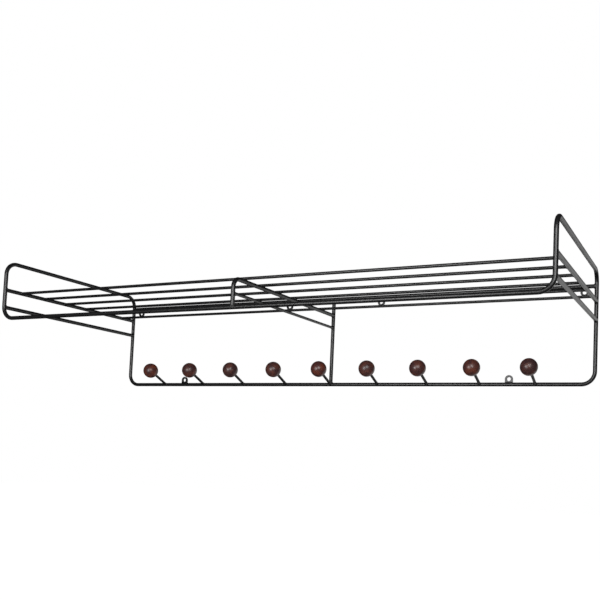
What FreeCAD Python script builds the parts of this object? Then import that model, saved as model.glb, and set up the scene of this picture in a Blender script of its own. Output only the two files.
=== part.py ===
import FreeCAD, Part
import math
import os

# Wall-hung hat shelf of bent and welded round steel rod, with wooden balls on its hooks.
# X runs right along the wall, Y into the wall and Z up, in millimetres.
# The origin is on the wall, midway along the line of the upper fixing holes.

Vector = FreeCAD.Vector

# Round stock
rod_diameter = 7.0
wire_diameter = 5.0

# Bent frame, over the outside of its rod
overall_width = 1000.0
overall_depth = 350.0
frame_bend_radius = 22.0

# Heights of rod centre lines: the front rail above the bottom rail, the rest above the front rail
front_rail_height = 88.0
side_bar_rise = 20.7
centre_bar_rise = 22.5
shelf_rise = 52.6
guard_rise = 103.7
rear_top_rail_drop = 25.2

# Shelf wires
wire_count = 6
first_wire_setback = 35.0
last_wire_setback = 41.0

# Centre bracket
bracket_bend_radius = 15.0

# Hooks and their balls, measured from the bottom rail's centre line
hook_count = 9
hook_diameter = 5.0
ball_diameter = 30.0
ball_reach = 52.0
ball_rise = 24.3
spigot_depth = 12.0
spigot_clearance = 0.05
bore_end_gap = 1.0
bore_chamfer = 0.4

# Mounting tabs of steel strip, welded to the rails
tab_width = 14.0
tab_thickness = 3.0
tab_hole_diameter = 7.0
tab_hole_reach = 9.6
upper_outer_tab_inset = 20.0
upper_inner_tab_offset = 100.0
lower_tab_inset = 146.5

# Placed from those sizes
rod_radius = rod_diameter / 2
wire_radius = wire_diameter / 2
frame_width = overall_width - rod_diameter
right_x = frame_width / 2
rear_y = -rod_radius
front_y = rod_radius - overall_depth

upper_hole_height = front_rail_height + guard_rise - rear_top_rail_drop - tab_hole_reach
bottom_z = -upper_hole_height
front_rail_z = bottom_z + front_rail_height
side_bar_z = front_rail_z + side_bar_rise
centre_bar_z = front_rail_z + centre_bar_rise
shelf_z = front_rail_z + shelf_rise
top_z = front_rail_z + guard_rise
rear_top_z = top_z - rear_top_rail_drop
arm_z = shelf_z - wire_radius - rod_radius


# Shapes that the parts share

def rod(start, end, diameter):
    """A straight round rod between two points of its centre line."""
    run = end.sub(start)
    return Part.makeCylinder(diameter / 2, run.Length, start, run)


def corner_arc(before, corner, after, radius):
    """Start, middle and end of the bend that joins two straight runs at their corner."""
    direction_in = corner.sub(before).normalize()
    direction_out = after.sub(corner).normalize()
    half_turn = direction_in.getAngle(direction_out) / 2
    setback = radius * math.tan(half_turn)
    inward = direction_out.sub(direction_in).normalize()
    start = corner.sub(direction_in * setback)
    middle = corner.add(inward * (radius / math.cos(half_turn) - radius))
    end = corner.add(direction_out * setback)
    return start, middle, end


def bent_rod(corners, radius, diameter, closed):
    """One rod swept along straight runs with a tangent arc at each corner."""
    count = len(corners)
    bent = range(count) if closed else range(1, count - 1)
    arcs = [corner_arc(corners[index - 1], corners[index], corners[(index + 1) % count], radius)
            for index in bent]
    here = arcs[-1][2] if closed else corners[0]
    run = arcs[0][0].sub(here)
    section = Part.Wire(Part.makeCircle(diameter / 2, here, run))
    edges = []
    for start, middle, end in arcs:
        edges.append(Part.makeLine(here, start))
        edges.append(Part.Arc(start, middle, end).toShape())
        here = end
    if not closed:
        edges.append(Part.makeLine(here, corners[-1]))
    return Part.Wire(edges).makePipeShell([section], True, False)


def coped(bar, *neighbours):
    """A bar whose ends are notched to seat on the round rods that it is welded to."""
    trimmed = bar.cut(list(neighbours))
    return max(trimmed.Solids, key=lambda solid: solid.Volume)


# Frame: one rod bent round all eight corners and closed on itself

def make_frame_loop():
    corners = []
    for side in (1, -1):
        rear_low = Vector(side * right_x, rear_y, bottom_z)
        rear_top = Vector(side * right_x, rear_y, top_z)
        front_top = Vector(side * right_x, front_y, top_z)
        front_low = Vector(side * right_x, front_y, front_rail_z)
        corners.append([rear_low, rear_top, front_top, front_low])
    path = corners[0] + corners[1][::-1]
    return bent_rod(path, frame_bend_radius, rod_diameter, closed=True)


def make_side_bar(side, height, frame_loop):
    """A bar from the frame's front upright to its rear one."""
    front = Vector(side * right_x, front_y, height)
    rear = Vector(side * right_x, rear_y, height)
    return coped(rod(front, rear, rod_diameter), frame_loop)


# Rear ladder: the top rail between the uprights, and the centre upright under it

def make_rear_top_rail(frame_loop):
    left = Vector(-right_x, rear_y, rear_top_z)
    right = Vector(right_x, rear_y, rear_top_z)
    return coped(rod(left, right, rod_diameter), frame_loop)


def make_centre_upright(frame_loop, rear_top_rail):
    foot = Vector(0, rear_y, bottom_z)
    head = Vector(0, rear_y, rear_top_z)
    return coped(rod(foot, head, rod_diameter), frame_loop, rear_top_rail)


# Centre bracket: it stands on the front rail, and its arm carries the wires at mid span

def make_centre_bracket(frame_loop, centre_upright):
    foot = Vector(0, front_y, front_rail_z)
    corner = Vector(0, front_y, arm_z)
    heel = Vector(0, rear_y, arm_z)
    arm = bent_rod([foot, corner, heel], bracket_bend_radius, rod_diameter, closed=False)
    return coped(arm, frame_loop, centre_upright)


def make_centre_lower_bar(centre_bracket, centre_upright):
    front = Vector(0, front_y, centre_bar_z)
    rear = Vector(0, rear_y, centre_bar_z)
    return coped(rod(front, rear, wire_diameter), centre_bracket, centre_upright)


# Shelf: straight wires between the two shelf bars, resting on the bracket's arm

def wire_places():
    front = front_y + first_wire_setback
    rear = rear_y - last_wire_setback
    pitch = (rear - front) / (wire_count - 1)
    return [front + index * pitch for index in range(wire_count)]


def make_shelf_wire(y, shelf_bars):
    left = Vector(-right_x, y, shelf_z)
    right = Vector(right_x, y, shelf_z)
    return coped(rod(left, right, wire_diameter), *shelf_bars)


# Hooks: straight stubs that rise forward from the bottom rail, each with a ball on its spigot

hook_direction = Vector(0, -ball_reach, ball_rise).normalize()
hook_pitch = frame_width / (hook_count + 1)
ball_radius = ball_diameter / 2
rail_to_ball = math.hypot(ball_reach, ball_rise)
hook_length = rail_to_ball - ball_radius + spigot_depth


def hook_places():
    return [-right_x + index * hook_pitch for index in range(1, hook_count + 1)]


def make_hook(x, neighbours):
    foot = Vector(x, rear_y, bottom_z)
    stub = rod(foot, foot.add(hook_direction * hook_length), hook_diameter)
    return coped(stub, *neighbours)


def make_ball(x):
    """A turned ball with a blind bore for the hook's spigot, eased at the mouth."""
    foot = Vector(x, rear_y, bottom_z)
    ball = Part.makeSphere(ball_radius, foot.add(hook_direction * rail_to_ball), hook_direction)
    bore_radius = hook_diameter / 2 + spigot_clearance
    bottom = foot.add(hook_direction * (hook_length + bore_end_gap))
    bore = Part.makeCylinder(bore_radius, spigot_depth + ball_radius, bottom, hook_direction * -1)
    mouth_depth = math.sqrt(ball_radius ** 2 - (bore_radius + bore_chamfer) ** 2)
    mouth = foot.add(hook_direction * (rail_to_ball - mouth_depth + bore_chamfer))
    flare = Part.makeCone(bore_radius, bore_radius + 2 * bore_chamfer, 2 * bore_chamfer,
                          mouth, hook_direction * -1)
    return coped(ball, bore, flare)


# Mounting tabs: round-ended strips, flush with the backs of the rods, one screw hole each

def make_tab(x, rail_z, side, rail):
    """side is 1 where the tab stands on its rail and -1 where it hangs below it."""
    hole_z = rail_z + side * tab_hole_reach
    low_z = min(rail_z, hole_z)
    strip = Part.makeBox(tab_width, tab_thickness, tab_hole_reach,
                         Vector(x - tab_width / 2, -tab_thickness, low_z))
    wall = Vector(0, -1, 0)
    head = Part.makeCylinder(tab_width / 2, tab_thickness, Vector(x, 0, hole_z), wall)
    hole = Part.makeCylinder(tab_hole_diameter / 2, tab_thickness, Vector(x, 0, hole_z), wall)
    return coped(strip.fuse(head).removeSplitter(), hole, rail)


# Assembly

frame_loop = make_frame_loop()
nodes = {"frame_loop": frame_loop}
shelf_bars = []
for name, side in (("left", -1), ("right", 1)):
    shelf_bar = make_side_bar(side, shelf_z, frame_loop)
    shelf_bars.append(shelf_bar)
    nodes[name + "_shelf_bar"] = shelf_bar
    nodes[name + "_lower_bar"] = make_side_bar(side, side_bar_z, frame_loop)

rear_top_rail = make_rear_top_rail(frame_loop)
centre_upright = make_centre_upright(frame_loop, rear_top_rail)
centre_bracket = make_centre_bracket(frame_loop, centre_upright)
nodes["rear_top_rail"] = rear_top_rail
nodes["centre_upright"] = centre_upright
nodes["centre_bracket"] = centre_bracket
nodes["centre_lower_bar"] = make_centre_lower_bar(centre_bracket, centre_upright)

for number, y in enumerate(wire_places(), 1):
    nodes["shelf_wire_%d" % number] = make_shelf_wire(y, shelf_bars)

for number, x in enumerate(hook_places(), 1):
    nodes["hook_%d" % number] = make_hook(x, [frame_loop, centre_upright])
nodes["hook_balls"] = Part.makeCompound([make_ball(x) for x in hook_places()])

outer_tab_x = right_x - upper_outer_tab_inset
upper_tab_places = (-outer_tab_x, -upper_inner_tab_offset, upper_inner_tab_offset, outer_tab_x)
for number, x in enumerate(upper_tab_places, 1):
    nodes["upper_tab_%d" % number] = make_tab(x, rear_top_z, -1, rear_top_rail)
lower_tab_x = right_x - lower_tab_inset
for number, x in enumerate((-lower_tab_x, lower_tab_x), 1):
    nodes["lower_tab_%d" % number] = make_tab(x, bottom_z, 1, frame_loop)

os.makedirs("parts", exist_ok=True)
for name, shape in nodes.items():
    shape.exportStep("parts/%s.step" % name)
    box = shape.BoundBox
    print("%-18s solids %d valid %s volume %9.1f  size %.1f x %.1f x %.1f" % (
        name, len(shape.Solids), shape.isValid(), shape.Volume, box.XLength, box.YLength, box.ZLength))
print(len(nodes), "nodes")
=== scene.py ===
# %% [markdown]
# A hat shelf bent and welded from round steel rod
#
# The real shelf is one 7 mm rod bent round eight corners, a few shorter rods welded to it, six thin
# wires to carry the hats, and nine short hooks that end in turned wooden balls. The steel is
# powder-coated black, and the balls are stained dark red-brown and lacquered.
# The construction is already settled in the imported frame, at its real size, so this lesson only adds
# what the eye needs: weld metal where rods meet, round balls, two finishes, a studio and a camera.

import bpy
import math
from mathutils import Matrix, Vector


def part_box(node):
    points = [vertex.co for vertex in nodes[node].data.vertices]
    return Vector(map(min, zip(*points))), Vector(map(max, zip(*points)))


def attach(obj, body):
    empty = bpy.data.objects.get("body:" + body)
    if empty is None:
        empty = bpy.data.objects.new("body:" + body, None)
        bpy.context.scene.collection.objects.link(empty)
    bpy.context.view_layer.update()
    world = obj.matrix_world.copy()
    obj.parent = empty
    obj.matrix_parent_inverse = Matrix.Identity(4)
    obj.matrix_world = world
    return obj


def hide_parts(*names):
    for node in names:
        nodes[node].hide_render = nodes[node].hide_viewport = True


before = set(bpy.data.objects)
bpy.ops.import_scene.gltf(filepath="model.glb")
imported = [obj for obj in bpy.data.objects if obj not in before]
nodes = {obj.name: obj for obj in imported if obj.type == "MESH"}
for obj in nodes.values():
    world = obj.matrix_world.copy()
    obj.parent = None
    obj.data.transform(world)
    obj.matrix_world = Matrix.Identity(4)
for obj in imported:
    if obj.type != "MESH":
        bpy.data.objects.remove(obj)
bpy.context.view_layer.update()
MM = 0.001

# %% [markdown]
# Colours are easiest to choose as sRGB hex values, the way they read on a screen, but shader sockets
# take linear light. One function turns the first into the second.

# %% Turn a hex colour into linear light
def linear(hex_colour):
    """The linear RGBA colour of an sRGB hex value such as #3a1d17."""
    channels = [int(hex_colour[place:place + 2], 16) / 255 for place in (1, 3, 5)]
    return [c / 12.92 if c <= 0.04045 else ((c + 0.055) / 1.055) ** 2.4 for c in channels] + [1.0]


print("pale floor in linear light:", [round(c, 3) for c in linear("#f4f4f4")])

# %% [markdown]
# Shader trees and geometry trees are built the same way: make a node, choose its options, then give
# each input either a value or a link from another node. One small function does all three.

# %% Add a node with its settings and links
def add(tree, kind, inputs=None, **settings):
    """A new node. inputs maps a socket's name or number to a value, or to the socket that feeds it."""
    node = tree.nodes.new(kind)
    for name, value in settings.items():
        setattr(node, name, value)
    for key, value in (inputs or {}).items():
        socket = node.inputs[key]
        if isinstance(value, bpy.types.NodeSocket):
            tree.links.new(value, socket)
        else:
            socket.default_value = value
    return node


def new_material(name):
    """A material whose node tree is still empty, and that tree."""
    material = bpy.data.materials.new(name)
    material.use_nodes = True
    material.node_tree.nodes.clear()
    return material, material.node_tree


print("helpers made: add and new_material")

# %% [markdown]
# Where things are
#
# Centre lines could be typed in as numbers, but then a change to the frame would leave the welds and
# balls behind. So nothing is measured by hand here: every line comes from the boxes of the frame's
# nodes, and if the frame is built wider or deeper, the rest moves with it.

# %% Read the centre lines from the frame
def middle(node):
    """The middle of a node's box."""
    low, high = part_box(node)
    return (low + high) / 2


frame_low, frame_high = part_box("frame_loop")
wire_names = sorted(name for name in nodes if name.startswith("shelf_wire_"))
hook_names = sorted(name for name in nodes if name.startswith("hook_") and name[5:].isdigit())
tab_names = sorted(name for name in nodes if "_tab_" in name)

bar_low, bar_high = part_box("left_shelf_bar")
rod_radius = (bar_high.z - bar_low.z) / 2
wire_low, wire_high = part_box(wire_names[0])
wire_radius = (wire_high.z - wire_low.z) / 2

right_x = frame_high.x - rod_radius
rear_y = frame_high.y - rod_radius
front_y = frame_low.y + rod_radius
bottom_z = frame_low.z + rod_radius
shelf_z = middle("left_shelf_bar").z
rear_top_z = middle("rear_top_rail").z
lower_bar_z = middle("left_lower_bar").z
centre_bar_z = middle("centre_lower_bar").z
bracket_low, bracket_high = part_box("centre_bracket")
arm_z = bracket_high.z - rod_radius
front_rail_z = bracket_low.z
print("rod %.2f mm, wire %.2f mm" % (2 * rod_radius / MM, 2 * wire_radius / MM))

# %% [markdown]
# Black powder coat on steel
#
# Powder coat is a polyester powder melted onto the steel. It hides the metal completely, so the shader
# is a dielectric with an IOR of about 1.5 and no metallic part. The melt leaves a fine orange peel,
# about a millimetre from bump to bump, and a slightly uneven satin gloss. Both could be painted into
# pictures, but a rod that bends and meets others has seams everywhere. Noise that is read from the
# place in space runs through them all, so it is used here.

# %% Powder coat
def powder_coat():
    """The coat that is shared by the steel and the welds."""
    material, tree = new_material("satin black polyester powder coat")
    place = add(tree, "ShaderNodeTexCoord").outputs["Object"]
    # Orange peel: low bumps, kept faint because a good coat levels well before it sets
    peel_size, peel_height = 1.2 * MM, 0.05 * MM
    peel = add(tree, "ShaderNodeTexNoise", {"Vector": place, "Scale": 1 / peel_size, "Detail": 2.0,
                                            "Roughness": 0.5})
    bump = add(tree, "ShaderNodeBump", {"Height": peel.outputs["Fac"], "Strength": 0.05,
                                        "Distance": peel_height})
    # Patches where the melt flowed out glossier and darker, or duller and paler
    patch_size = 25 * MM
    flow = add(tree, "ShaderNodeTexNoise", {"Vector": place, "Scale": 1 / patch_size, "Detail": 3.0})
    gloss = add(tree, "ShaderNodeMapRange", {"Value": flow.outputs["Fac"], "From Min": 0.3,
                                             "From Max": 0.7, "To Min": 0.33, "To Max": 0.38})
    tone = add(tree, "ShaderNodeMix", {"Factor": flow.outputs["Fac"], "A": linear("#0b0b0c"),
                                       "B": linear("#121213")}, data_type="RGBA")
    coat = add(tree, "ShaderNodeBsdfPrincipled", {
        "Base Color": tone.outputs["Result"], "Roughness": gloss.outputs["Result"],
        "IOR": 1.5, "Normal": bump.outputs["Normal"]})
    add(tree, "ShaderNodeOutputMaterial", {"Surface": coat.outputs["BSDF"]})
    return material


black_coat = powder_coat()
for name, node in nodes.items():
    if name != "hook_balls":
        node.data.materials.clear()
        node.data.materials.append(black_coat)
print("powder coat on", len(nodes) - 1, "nodes")

# %% [markdown]
# Stained hardwood
#
# Each ball is turned from a close-grained hardwood such as beech and stained dark red-brown. Stain
# soaks deeper into the soft early wood, so the rings read as dark bands between redder ones. A picture
# of wood wrapped round a ball would pinch at its poles, so the grain is a pattern in space that the ball
# cuts through, as the lathe cuts through the plank. Every ball is cut from another place: the pattern is
# read from the ball's own coordinates, which travel with it as an attribute, and a random number for
# each ball slides and tints it.

# %% Colour and pores of the stained wood
ring_spacing, cloud_size, pore_spacing = 2.5 * MM, 12 * MM, 0.8 * MM


def stained_wood(tree):
    """The wood's colour and the height of its pores, as sockets."""
    place = add(tree, "ShaderNodeAttribute", attribute_name="turned_place").outputs["Vector"]
    plank = add(tree, "ShaderNodeAttribute", attribute_name="plank").outputs["Fac"]
    plank_reach = (0.31, 0.17, 0.23)
    slide = add(tree, "ShaderNodeVectorMath", {0: plank, 1: plank_reach}, operation="MULTIPLY")
    cut = add(tree, "ShaderNodeVectorMath", {0: place, 1: slide.outputs["Vector"]},
              operation="ADD").outputs["Vector"]
    # Growth rings. A wave texture's bands stand tau / 20 apart at a scale of 1
    rings = add(tree, "ShaderNodeTexWave", {
        "Vector": cut, "Scale": math.tau / (20 * ring_spacing), "Distortion": 6.0, "Detail": 2.0,
        "Detail Scale": 1.5}, bands_direction="X")
    stain = add(tree, "ShaderNodeValToRGB", {"Fac": rings.outputs["Fac"]})
    stain.color_ramp.elements[0].color = linear("#3a2524")
    stain.color_ramp.elements[1].color = linear("#4f302b")
    # Clouds where the stain took lighter and redder
    soak = add(tree, "ShaderNodeTexNoise", {"Vector": cut, "Scale": 1 / cloud_size, "Detail": 2.0})
    taken = add(tree, "ShaderNodeMapRange", {"Value": soak.outputs["Fac"], "From Min": 0.38,
                                             "From Max": 0.66})
    cloud = add(tree, "ShaderNodeMix", {"Factor": taken.outputs["Result"], "A": linear("#352325"),
                                        "B": linear("#66382a")}, data_type="RGBA")
    wood = add(tree, "ShaderNodeMix", {"Factor": 0.6, "A": stain.outputs["Color"],
                                       "B": cloud.outputs["Result"]}, data_type="RGBA")
    # Pores half as wide as their spacing, and ten times as long along the grain
    along_grain = (1.0, 1.0, 0.1)
    stretch = add(tree, "ShaderNodeMapping", {"Vector": cut, "Scale": along_grain})
    pores = add(tree, "ShaderNodeTexNoise", {"Vector": stretch.outputs["Vector"],
                                             "Scale": 1 / pore_spacing, "Detail": 3.0}).outputs["Fac"]
    pore_mask = add(tree, "ShaderNodeMapRange", {"Value": pores, "From Min": 0.32, "From Max": 0.52,
                                                 "To Min": 0.55, "To Max": 1.0})
    shade = add(tree, "ShaderNodeMix", {"Factor": 1.0, "A": wood.outputs["Result"],
                                        "B": pore_mask.outputs["Result"]},
                data_type="RGBA", blend_type="MULTIPLY")
    # Some balls took the stain duller and some redder
    redness = add(tree, "ShaderNodeMapRange", {"Value": plank, "To Min": 1.0, "To Max": 1.15})
    lightness = add(tree, "ShaderNodeMapRange", {"Value": plank, "To Min": 0.9, "To Max": 1.1})
    tint = add(tree, "ShaderNodeHueSaturation", {"Color": shade.outputs["Result"],
                                                 "Saturation": redness.outputs["Result"],
                                                 "Value": lightness.outputs["Result"]})
    return tint.outputs["Color"], pores


print("rings %.1f mm apart, clouds %.0f mm, pores %.1f mm" % (
    ring_spacing / MM, cloud_size / MM, pore_spacing / MM))

# %% [markdown]
# Clear lacquer
#
# The balls were dipped in clear lacquer, which dries to a smooth layer over the wood. A second, glass
# shell could stand for it, but it would need its own thickness. The Coat inputs of the Principled
# shader give the same reflection with no extra mesh.

# %% Lacquer over the wood
def lacquered_wood():
    """Stained beech under satin lacquer."""
    material, tree = new_material("stained and lacquered beech")
    colour, pores = stained_wood(tree)
    pore_depth = 0.03 * MM
    bump = add(tree, "ShaderNodeBump", {"Height": pores, "Strength": 0.15, "Distance": pore_depth})
    # Lacquer soaks into wood with no step in IOR, so only its own surface reflects
    skin = add(tree, "ShaderNodeBsdfPrincipled", {
        "Base Color": colour, "Roughness": 0.5, "Specular IOR Level": 0.0,
        "Normal": bump.outputs["Normal"], "Coat Weight": 1.0,
        "Coat Roughness": 0.34, "Coat IOR": 1.5})
    add(tree, "ShaderNodeOutputMaterial", {"Surface": skin.outputs["BSDF"]})
    return material


red_wood = lacquered_wood()
print("finishes:", [material.name for material in (black_coat, red_wood)])

# %% [markdown]
# Geometry Nodes
#
# Balls and welds repeat. Each copy could be an object of its own, but that makes 58 objects to keep in
# step. Here a shape is made once, and Geometry Nodes set out the copies. The two helpers declare a
# tree's named inputs, and turn what the tree makes into a plain mesh.

# %% Helpers for geometry trees
def geometry_tree(name, sockets):
    """A geometry tree with a Geometry input, the named inputs and a Geometry output."""
    tree = bpy.data.node_groups.new(name, "GeometryNodeTree")
    tree.interface.new_socket("Geometry", in_out="INPUT", socket_type="NodeSocketGeometry")
    for label, kind in sockets:
        tree.interface.new_socket(label, in_out="INPUT", socket_type=kind)
    tree.interface.new_socket("Geometry", in_out="OUTPUT", socket_type="NodeSocketGeometry")
    return tree, add(tree, "NodeGroupInput").outputs


def grow(name, tree, start, values):
    """The plain mesh object that the tree makes from the start mesh with these input values."""
    seedling = bpy.data.objects.new(name + " seedling", start)
    bpy.context.scene.collection.objects.link(seedling)
    modifier = seedling.modifiers.new(tree.name, "NODES")
    modifier.node_group = tree
    # A modifier's inputs are set by their sockets' identifiers, not by their names
    for item in tree.interface.items_tree:
        if item.item_type == "SOCKET" and item.in_out == "INPUT" and item.name in values:
            modifier[item.identifier] = values[item.name]
    evaluated = seedling.evaluated_get(bpy.context.evaluated_depsgraph_get())
    mesh = bpy.data.meshes.new_from_object(evaluated)
    seedling.modifiers.clear()
    bpy.data.objects.remove(seedling)
    mesh.name = name
    piece = bpy.data.objects.new(name, mesh)
    bpy.context.scene.collection.objects.link(piece)
    return piece


# A Random Value node has an output for each kind of number, all with the same name
random_float, random_boolean = 1, 3
print("helpers made: geometry_tree and grow")

# %% [markdown]
# Shapes that are turned or welded are rings of points, each joined to the next by a band of faces. A
# Screw modifier could spin an outline too, but plain lists also fit the weld, whose rings differ.

# %% Helpers for pattern meshes
def pattern_object(name, points, faces):
    """A mesh object to copy from. It isn't linked to the scene, so it never shows itself."""
    mesh = bpy.data.meshes.new(name)
    mesh.from_pydata(points, [], faces)
    mesh.update()
    return bpy.data.objects.new(name, mesh)


def ring_faces(rings, sides, closed):
    """Quads that join rings of points, each to the next, and the last to the first if closed."""
    faces = []
    for ring in range(rings if closed else rings - 1):
        near, far = ring * sides, (ring + 1) % rings * sides
        for side in range(sides):
            after = (side + 1) % sides
            faces.append((near + side, near + after, far + after, far + side))
    return faces


def end_faces(rings, sides, first_tip, last_tip):
    """Triangles that close the first ring onto one tip and the last ring onto the other."""
    faces = []
    last = (rings - 1) * sides
    for side in range(sides):
        after = (side + 1) % sides
        faces.append((after, side, first_tip))
        faces.append((last + side, last + after, last_tip))
    return faces


print("a closed band of 96 rings by 10 has", len(ring_faces(96, 10, closed=True)), "faces")

# %% [markdown]
# The turned ball
#
# A ball comes off the lathe as a true sphere, with a blind hole for the hook and a narrow eased edge
# round its mouth. A Boolean could drill a UV sphere, but it leaves slivers at the mouth. So the ball is
# built the way the lathe cuts it: one outline, from the bottom of the hole out over the edge and round
# to the pole, repeated round the axis.

# %% Turn one ball
def turned_ball(radius, bore_radius, bore_depth, ease, sides=72, steps=44):
    """A ball about the origin with its mouth at -Z."""
    mouth_radius = bore_radius + ease
    mouth_angle = math.asin(mouth_radius / radius)
    mouth_height = -radius * math.cos(mouth_angle)
    outline = [(bore_radius, mouth_height + bore_depth), (bore_radius, mouth_height + ease)]
    for step in range(steps):
        angle = mouth_angle + (math.pi - mouth_angle) * step / steps
        outline.append((radius * math.sin(angle), -radius * math.cos(angle)))
    points = [(across * math.cos(math.tau * side / sides), across * math.sin(math.tau * side / sides), up)
              for across, up in outline for side in range(sides)]
    rings = len(outline)
    faces = ring_faces(rings, sides, closed=False)
    points += [(0, 0, outline[0][1]), (0, 0, radius)]
    faces += end_faces(rings, sides, len(points) - 2, len(points) - 1)
    return pattern_object("turned ball", points, faces)


balls_low, balls_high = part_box("hook_balls")
ball_radius = (balls_high.z - balls_low.z) / 2
bore_radius = wire_radius + 0.05 * MM
bore_depth, mouth_ease = 13 * MM, 0.4 * MM
ball = turned_ball(ball_radius, bore_radius, bore_depth, mouth_ease)
carried = ball.data.attributes.new("turned_place", "FLOAT_VECTOR", "POINT")
for point, vertex in zip(carried.data, ball.data.vertices):
    point.vector = vertex.co
print("ball %.1f mm across, %d faces" % (2 * ball_radius / MM, len(ball.data.polygons)))

# %% [markdown]
# Nine balls in a row
#
# An Array modifier could repeat the ball, but every copy would be alike. A Mesh Line gives one point for
# each hook instead. Each copy is tipped to its hook's lean, rolled about its own axis by a random turn,
# and given a random number that the wood material reads as its place in the plank.

# %% Set out the balls
def ball_row_tree():
    tree, given = geometry_tree("row of balls", [
        ("Ball", "NodeSocketObject"), ("Count", "NodeSocketInt"), ("Start", "NodeSocketVector"),
        ("Pitch", "NodeSocketVector"), ("Lean", "NodeSocketVector"), ("Finish", "NodeSocketMaterial"),
        ("Seed", "NodeSocketInt")])
    row = add(tree, "GeometryNodeMeshLine", {"Count": given["Count"], "Start Location": given["Start"],
                                             "Offset": given["Pitch"]})
    shape = add(tree, "GeometryNodeObjectInfo", {"Object": given["Ball"]})
    copies = add(tree, "GeometryNodeInstanceOnPoints", {
        "Points": row.outputs["Mesh"], "Instance": shape.outputs["Geometry"], "Rotation": given["Lean"]})
    roll = add(tree, "FunctionNodeRandomValue", {"Min": (0, 0, 0), "Max": (0, 0, math.tau),
                                                 "Seed": given["Seed"]}, data_type="FLOAT_VECTOR")
    rolled = add(tree, "GeometryNodeRotateInstances", {"Instances": copies.outputs["Instances"],
                                                       "Rotation": roll.outputs["Value"]})
    plank = add(tree, "FunctionNodeRandomValue", {"Seed": given["Seed"]}, data_type="FLOAT")
    marked = add(tree, "GeometryNodeStoreNamedAttribute", {
        "Geometry": rolled.outputs["Instances"], "Name": "plank",
        "Value": plank.outputs[random_float]}, data_type="FLOAT", domain="INSTANCE")
    solid = add(tree, "GeometryNodeRealizeInstances", {"Geometry": marked.outputs["Geometry"]})
    smooth = add(tree, "GeometryNodeSetShadeSmooth", {"Geometry": solid.outputs["Geometry"]})
    finished = add(tree, "GeometryNodeSetMaterial", {"Geometry": smooth.outputs["Geometry"],
                                                     "Material": given["Finish"]})
    add(tree, "NodeGroupOutput", {"Geometry": finished.outputs["Geometry"]})
    return tree


first_ball = Vector((balls_low.x + ball_radius, middle("hook_balls").y, middle("hook_balls").z))
last_x = balls_high.x - ball_radius
hook_direction = Vector((0, first_ball.y - rear_y, first_ball.z - bottom_z)).normalized()
lean = Vector((0, 0, 1)).rotation_difference(hook_direction).to_euler()
pitch = (last_x - first_ball.x) / (len(hook_names) - 1)
ball_seed = 7
balls = grow("hook_balls_turned", ball_row_tree(), bpy.data.meshes.new("no start"), {
    "Ball": ball, "Count": len(hook_names), "Start": first_ball, "Pitch": (pitch, 0, 0),
    "Lean": lean, "Finish": red_wood, "Seed": ball_seed})
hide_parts("hook_balls")
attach(balls, "root")
print("balls %.1f mm apart, leaning %.1f degrees" % (pitch / MM, math.degrees(lean.x)))

# %% [markdown]
# Weld metal round a square joint
#
# Where one rod butts square against another, the welder runs a small fillet round the joint. A torus
# could stand for it, but it would lift off the main rod at the sides, so the true line is followed. On
# the branch the fillet's edge is level with a ring, and on the main rod it follows the saddle where the
# two cylinders meet. The main rod's surface is unrolled to step a fixed distance outward along it, then
# rolled up again. Rods of equal thickness would meet in a sharp V at each side, which weld metal always
# rounds, so the saddle is kept a little shallower there. The bead's ripples, about a millimetre apart,
# stay faintly visible under the powder. The welds are dressed flush with the sides of the main rod,
# because the rear ones lie against the wall.

# %% Shape one weld collar
def weld_collar(name, branch_radius, main_radius, leg, ripple_step, sides=96, steps=7):
    """A closed band round a branch that rises along +Z from a main rod that lies along X."""
    ripples = round(math.tau * branch_radius / ripple_step)
    deepest_saddle = 0.90
    saddle_depth = min(branch_radius / main_radius, deepest_saddle)
    # 1 for rods of equal thickness and about a quarter for a wire on a rod
    alike = (branch_radius / main_radius) ** 4
    # Shares of the leg: slow unevenness, ripples, and how far the toe draws in at the sides
    uneven_share, ripple_share, draw_in = 0.10, 0.05, 0.35
    # Also as shares: how full the fillet is at the sides, and how hollow in line with the main rod
    side_fullness, hollow = 0.40, 0.10
    skin, sunk = 0.03 * leg, 0.35 * leg
    points = []
    for side in range(sides):
        turn = math.tau * side / sides
        along, across = math.cos(turn), math.sin(turn)
        # Two waves out of step, so that no two sides of a weld are the same
        uneven = 1 + uneven_share * math.sin(2 * turn + 0.7) * math.sin(turn + 1.9)
        rippled = 1 + ripple_share * math.sin(ripples * turn)
        reach = leg * uneven * rippled * (1 - draw_in * alike * across ** 4)
        saddle_angle = math.asin(saddle_depth * across)
        saddle = Vector((branch_radius * along, branch_radius * across,
                         main_radius * math.cos(saddle_angle)))
        toe_angle = saddle_angle + reach * across / main_radius
        main_toe = Vector((saddle.x + reach * along, main_radius * math.sin(toe_angle),
                           main_radius * math.cos(toe_angle)))
        branch_toe = saddle + Vector((0, 0, reach))
        outward = Vector((along, across + math.sin(saddle_angle), math.cos(saddle_angle))).normalized()
        belly = leg * (side_fullness * alike * across ** 2 - hollow * along ** 2)
        for step in range(steps):
            share = step / (steps - 1)
            swell = belly * 4 * share * (1 - share)
            point = branch_toe.lerp(main_toe, share) + outward * (swell + skin)
            point.y = max(-main_radius, min(main_radius, point.y))
            points.append(point)
        for corner in (main_toe, saddle, branch_toe):
            points.append(corner - outward * sunk)
    return pattern_object(name, points, ring_faces(sides, len(points) // sides, closed=True))


rod_leg, wire_leg, ripple_step = 1.5 * MM, 1.2 * MM, 1.1 * MM
rod_weld = weld_collar("weld of rod on rod", rod_radius, rod_radius, rod_leg, ripple_step)
wire_weld = weld_collar("weld of wire on rod", wire_radius, rod_radius, wire_leg, ripple_step)
print("weld collars:", len(rod_weld.data.polygons), "faces each")

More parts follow.
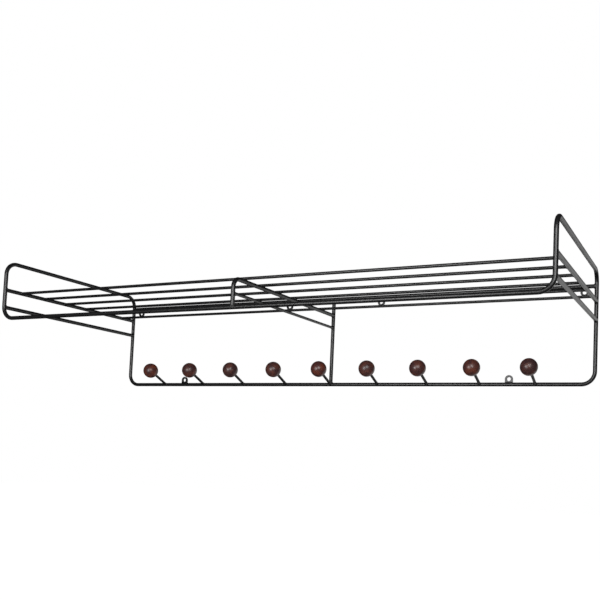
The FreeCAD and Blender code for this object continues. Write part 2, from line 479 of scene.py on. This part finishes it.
# %% [markdown]
# Beads and nuggets
#
# Two smaller kinds of weld: a short bead along the foot of each mounting tab, and the little nugget that
# a spot welder squeezes out where each wire crosses the centre bracket's arm. A capsule and a flattened
# ball are the same shape with and without a length, so one function makes both.

# %% Shape a bead and a nugget
def lump(name, length, radius, sides=20, steps=24, squash=1.0):
    """A round-ended bead along X. Without a length it is a ball, which squash flattens along Z."""
    points = []
    for step in range(1, steps):
        turn = math.pi * step / steps
        # The first half of the rings belongs to the left end and the second half to the right one
        end_x = -math.copysign(length / 2, math.cos(turn)) if step * 2 != steps else 0.0
        for side in range(sides):
            around = math.tau * side / sides
            points.append((end_x - radius * math.cos(turn), radius * math.sin(turn) * math.cos(around),
                           squash * radius * math.sin(turn) * math.sin(around)))
    faces = ring_faces(steps - 1, sides, closed=False)
    points += [(-length / 2 - radius, 0, 0), (length / 2 + radius, 0, 0)]
    faces += end_faces(steps - 1, sides, len(points) - 2, len(points) - 1)
    return pattern_object(name, points, faces)


tab_low, tab_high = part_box(tab_names[0])
tab_width = tab_high.x - tab_low.x
tab_thickness = tab_high.y - tab_low.y
bead_length, bead_radius = tab_width - 3 * MM, 1.1 * MM
nugget_radius, nugget_flatness = 1.9 * MM, 0.45
bead = lump("tab bead", bead_length, bead_radius)
nugget = lump("wire nugget", 0.0, nugget_radius, squash=nugget_flatness)
print("bead %.1f mm long, nugget %.1f mm across" % (
    (bead_length + 2 * bead_radius) / MM, 2 * nugget_radius / MM))

# %% [markdown]
# Where the welds go
#
# A joint is a point on the main rod's centre line with two directions: the main rod's and the branch's.
# The joints could be found by testing every rod against every other, but a list like the one on a
# welder's drawing is shorter, and it says what each joint is for.

# %% List the joints
across_x, into_wall, up = Vector((1, 0, 0)), Vector((0, 1, 0)), Vector((0, 0, 1))


def rod_joints():
    """Joints of the 7 mm rods: side bars, rear rail, centre upright and centre bracket."""
    joints = []
    for side in (-1, 1):
        x = side * right_x
        joints.append(((x, rear_y, rear_top_z), up, -side * across_x))
        for height in (shelf_z, lower_bar_z):
            joints.append(((x, front_y, height), up, into_wall))
            joints.append(((x, rear_y, height), up, -into_wall))
    joints.append(((0, rear_y, bottom_z), across_x, up))
    joints.append(((0, rear_y, rear_top_z), across_x, -up))
    joints.append(((0, front_y, front_rail_z), across_x, up))
    joints.append(((0, rear_y, arm_z), up, -into_wall))
    return joints


def wire_joints():
    """Joints of the 5 mm wires: the shelf, the hooks and the centre lower bar."""
    joints = []
    for name in wire_names:
        for side in (-1, 1):
            joints.append(((side * right_x, middle(name).y, shelf_z), into_wall, -side * across_x))
    for name in hook_names:
        joints.append(((middle(name).x, rear_y, bottom_z), across_x, hook_direction))
    joints.append(((0, front_y, centre_bar_z), up, into_wall))
    joints.append(((0, rear_y, centre_bar_z), up, -into_wall))
    return joints


def tab_joints():
    """The front foot of each tab, where its flat face meets the rail."""
    joints = []
    foot_height = math.sqrt(rod_radius ** 2 - (rod_radius - tab_thickness) ** 2)
    for name in tab_names:
        rail_z, toward_tab = (bottom_z, 1) if name.startswith("lower") else (rear_top_z, -1)
        joints.append(((middle(name).x, -tab_thickness, rail_z + toward_tab * foot_height), across_x, up))
    return joints


def crossing_joints():
    """The points where the wires rest on the centre bracket's arm."""
    return [((0, middle(name).y, shelf_z - wire_radius), across_x, up) for name in wire_names]


print("joints:", len(rod_joints()), "of rods,", len(wire_joints()), "of wires")

# %% [markdown]
# Weld every joint
#
# Each list of joints becomes a mesh of bare points that carry their turns, and one geometry tree copies
# a weld onto every point. Copies that all faced the same way would look stamped, so half of them,
# picked by a seed, are given half a turn about their branch.

# %% Copy the welds onto the joints
def joint_points(name, joints):
    """A mesh of bare points, each with its turn, so that local X is the main rod and Z the branch."""
    mesh = bpy.data.meshes.new(name)
    mesh.from_pydata([place for place, main, branch in joints], [], [])
    turns = mesh.attributes.new("turn", "FLOAT_VECTOR", "POINT")
    for turn, (place, main, branch) in zip(turns.data, joints):
        frame_of_joint = Matrix((main, branch.cross(main), branch)).transposed()
        turn.vector = frame_of_joint.to_euler()
    return mesh


def weld_tree():
    tree, given = geometry_tree("welds on joints", [
        ("Weld", "NodeSocketObject"), ("Finish", "NodeSocketMaterial"), ("Seed", "NodeSocketInt")])
    shape = add(tree, "GeometryNodeObjectInfo", {"Object": given["Weld"]})
    turn = add(tree, "GeometryNodeInputNamedAttribute", {"Name": "turn"}, data_type="FLOAT_VECTOR")
    copies = add(tree, "GeometryNodeInstanceOnPoints", {
        "Points": given["Geometry"], "Instance": shape.outputs["Geometry"],
        "Rotation": turn.outputs["Attribute"]})
    pick = add(tree, "FunctionNodeRandomValue", {"Probability": 0.5, "Seed": given["Seed"]},
               data_type="BOOLEAN")
    flip = add(tree, "GeometryNodeRotateInstances", {
        "Instances": copies.outputs["Instances"], "Selection": pick.outputs[random_boolean],
        "Rotation": (0, 0, math.pi)})
    solid = add(tree, "GeometryNodeRealizeInstances", {"Geometry": flip.outputs["Instances"]})
    smooth = add(tree, "GeometryNodeSetShadeSmooth", {"Geometry": solid.outputs["Geometry"]})
    finished = add(tree, "GeometryNodeSetMaterial", {"Geometry": smooth.outputs["Geometry"],
                                                     "Material": given["Finish"]})
    add(tree, "NodeGroupOutput", {"Geometry": finished.outputs["Geometry"]})
    return tree


welding = weld_tree()
weld_seed = 3
for name, shape, joints in (("rod_welds", rod_weld, rod_joints()),
                            ("wire_welds", wire_weld, wire_joints()),
                            ("tab_beads", bead, tab_joints()),
                            ("wire_nuggets", nugget, crossing_joints())):
    piece = grow(name, welding, joint_points(name + " joints", joints),
                 {"Weld": shape, "Finish": black_coat, "Seed": weld_seed})
    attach(piece, "root")
    print(name, len(joints), "joints,", len(piece.data.polygons), "faces")

# %% [markdown]
# What the steel mirrors
#
# In the photograph only the side bars at the right show a bright reflection, and the hooks a fainter
# one. So the white backdrop that the steel mirrors stands behind and below them, and the rest of the
# room is dim. A real white panel would also light the wood and show in the picture. Here only glossy
# rays find it, by the direction they leave in, and the floor and the surround both ask the same
# function.

# %% A backdrop for glossy rays
behind = Vector((0.28, 0.87, -0.38)).normalized()
# Cosines of the angle from the backdrop's middle, at its soft edge and where it is full
edge_cosine, full_cosine = 0.75, 0.92
dim_room, white_backdrop = 0.03, 1.0


def backdrop_in_gloss(tree, toward):
    """How bright glossy rays find the room in the direction that the socket toward gives."""
    unit = add(tree, "ShaderNodeVectorMath", {0: toward}, operation="NORMALIZE")
    facing = add(tree, "ShaderNodeVectorMath", {0: unit.outputs["Vector"], 1: behind},
                 operation="DOT_PRODUCT")
    level = add(tree, "ShaderNodeMapRange", {
        "Value": facing.outputs["Value"], "From Min": edge_cosine, "From Max": full_cosine,
        "To Min": dim_room, "To Max": white_backdrop})
    return level.outputs["Result"]


print("backdrop: full within %.0f degrees of its middle, gone at %.0f" % (
    math.degrees(math.acos(full_cosine)), math.degrees(math.acos(edge_cosine))))

# %% [markdown]
# The floor
#
# A shelf hangs clear of any floor, so this one is far below and only closes the room. It is matt white.
# A plain white plane would look grey in the picture, because the soft lamps hardly reach it, so to the
# camera it also glows.

# %% Lay the floor
def floor_material():
    """Matt white paint that glows for the camera and is the same dim room to glossy rays."""
    material, tree = new_material("matt white studio floor")
    matt = add(tree, "ShaderNodeBsdfDiffuse", {"Color": linear("#f4f4f4")})
    glow = add(tree, "ShaderNodeEmission", {"Color": linear("#ffffff"), "Strength": 0.80})
    both = add(tree, "ShaderNodeAddShader", {0: matt.outputs["BSDF"], 1: glow.outputs["Emission"]})
    place = add(tree, "ShaderNodeTexCoord").outputs["Object"]
    mirrored = add(tree, "ShaderNodeEmission", {"Color": linear("#ffffff"),
                                                "Strength": backdrop_in_gloss(tree, place)})
    path = add(tree, "ShaderNodeLightPath")
    seen = add(tree, "ShaderNodeMixShader", {0: path.outputs["Is Camera Ray"], 1: matt.outputs["BSDF"],
                                             2: both.outputs["Shader"]})
    mix = add(tree, "ShaderNodeMixShader", {0: path.outputs["Is Glossy Ray"], 1: seen.outputs["Shader"],
                                            2: mirrored.outputs["Emission"]})
    add(tree, "ShaderNodeOutputMaterial", {"Surface": mix.outputs["Shader"]})
    return material


floor_half, floor_drop = 12.0, 1.0
floor_z = bottom_z - floor_drop
floor_mesh = bpy.data.meshes.new("floor")
floor_mesh.from_pydata([(-floor_half, -floor_half, floor_z), (floor_half, -floor_half, floor_z),
                        (floor_half, floor_half, floor_z), (-floor_half, floor_half, floor_z)],
                       [], [(0, 1, 2, 3)])
floor_mesh.materials.append(floor_material())
floor = bpy.data.objects.new("floor", floor_mesh)
bpy.context.scene.collection.objects.link(floor)
print("floor %.1f m below the bottom rail" % floor_drop)

# %% [markdown]
# The surround
#
# The photograph's background is pure white, but a white world would flood the black steel with light.
# The Light Path node tells who is looking, so the world is white to the camera, a weak grey light to
# matt surfaces, and the backdrop's room to glossy ones. The balls' right sides aren't quite dark, so
# the grey light is stronger from the right.

# %% Light the surround
def light_surround():
    """White to the camera, and a soft grey light on the object that is stronger from the right."""
    world = bpy.data.worlds.new("studio surround")
    world.use_nodes = True
    tree = world.node_tree
    tree.nodes.clear()
    direction = add(tree, "ShaderNodeTexCoord").outputs["Generated"]
    path = add(tree, "ShaderNodeLightPath")
    rightward = Vector((0.95, -0.30, 0.0)).normalized()
    weakest, strongest = 0.15, 0.62
    facing = add(tree, "ShaderNodeVectorMath", {0: direction, 1: rightward}, operation="DOT_PRODUCT")
    fill = add(tree, "ShaderNodeMapRange", {"Value": facing.outputs["Value"], "From Min": 0.0,
                                            "From Max": 1.0, "To Min": weakest, "To Max": strongest})
    not_camera = add(tree, "ShaderNodeMix", {"Factor": path.outputs["Is Diffuse Ray"],
                                             "A": backdrop_in_gloss(tree, direction),
                                             "B": fill.outputs["Result"]}, data_type="FLOAT")
    level = add(tree, "ShaderNodeMix", {"Factor": path.outputs["Is Camera Ray"],
                                        "A": not_camera.outputs["Result"], "B": 1.0},
                data_type="FLOAT")
    white = add(tree, "ShaderNodeBackground", {"Color": linear("#ffffff"),
                                               "Strength": level.outputs["Result"]})
    add(tree, "ShaderNodeOutputWorld", {"Surface": white.outputs["Background"]})
    bpy.context.scene.world = world


light_surround()
print("surround:", bpy.context.scene.world.name)

# %% [markdown]
# Two soft lamps
#
# Every ball in the photograph shows a pair of soft highlights side by side near its middle. A highlight
# lies where the ball faces halfway between the camera and a lamp, so the pairs give the lamps'
# directions: both stand in front, at about the camera's distance. One lamp could light the shelf as
# well, but its single highlight would look wrong on the lacquer.

# %% Hang the lamps
def soft_lamp(name, place, aim, size, watts):
    """A square soft lamp at place that faces aim."""
    light = bpy.data.lights.new(name, "AREA")
    light.size = size
    light.energy = watts
    lamp = bpy.data.objects.new(name, light)
    facing = (Vector(aim) - Vector(place)).to_track_quat("-Z", "Y")
    lamp.matrix_world = Matrix.Translation(place) @ facing.to_matrix().to_4x4()
    lamp.visible_camera = False
    bpy.context.scene.collection.objects.link(lamp)
    return lamp


aim = middle("frame_loop")
soft_lamp("left lamp", place=(-0.25, -1.6, -0.10), aim=aim, size=0.70, watts=15.6)
soft_lamp("right lamp", place=(0.85, -1.45, 0.30), aim=aim, size=0.75, watts=17.0)
print("lamps aimed at", [round(v, 3) for v in aim])

# %% [markdown]
# The camera
#
# The photograph was taken from beyond the shelf's right end and from below it, close enough for strong
# perspective. A camera could be placed by eye, but thin rods show every error, so its place, turn and
# lens were fitted to the lines of the rods. The picture is a crop, so the lens is shifted: the optical
# axis doesn't pass through the picture's centre.

# %% Place the camera
picture_side = 600
focal_pixels = 792.8
axis_x, axis_y = 362.5, 403.5
camera_place = Vector((0.7040, -1.3640, -0.2867))
yaw, tilt, roll = 25.00, 3.57, 2.28

lens = bpy.data.cameras.new("photograph")
lens.lens = lens.sensor_width * focal_pixels / picture_side
lens.shift_x = (picture_side / 2 - axis_x) / picture_side
lens.shift_y = (axis_y - picture_side / 2) / picture_side
camera = bpy.data.objects.new("photograph", lens)
camera.matrix_world = (Matrix.Translation(camera_place) @ Matrix.Rotation(math.radians(yaw), 4, "Z")
                       @ Matrix.Rotation(math.radians(90 + tilt), 4, "X")
                       @ Matrix.Rotation(math.radians(roll), 4, "Z"))
bpy.context.scene.collection.objects.link(camera)
bpy.context.scene.camera = camera
bpy.context.scene.view_settings.view_transform = "Standard"
print("lens %.1f mm, shift %.3f %.3f" % (lens.lens, lens.shift_x, lens.shift_y))
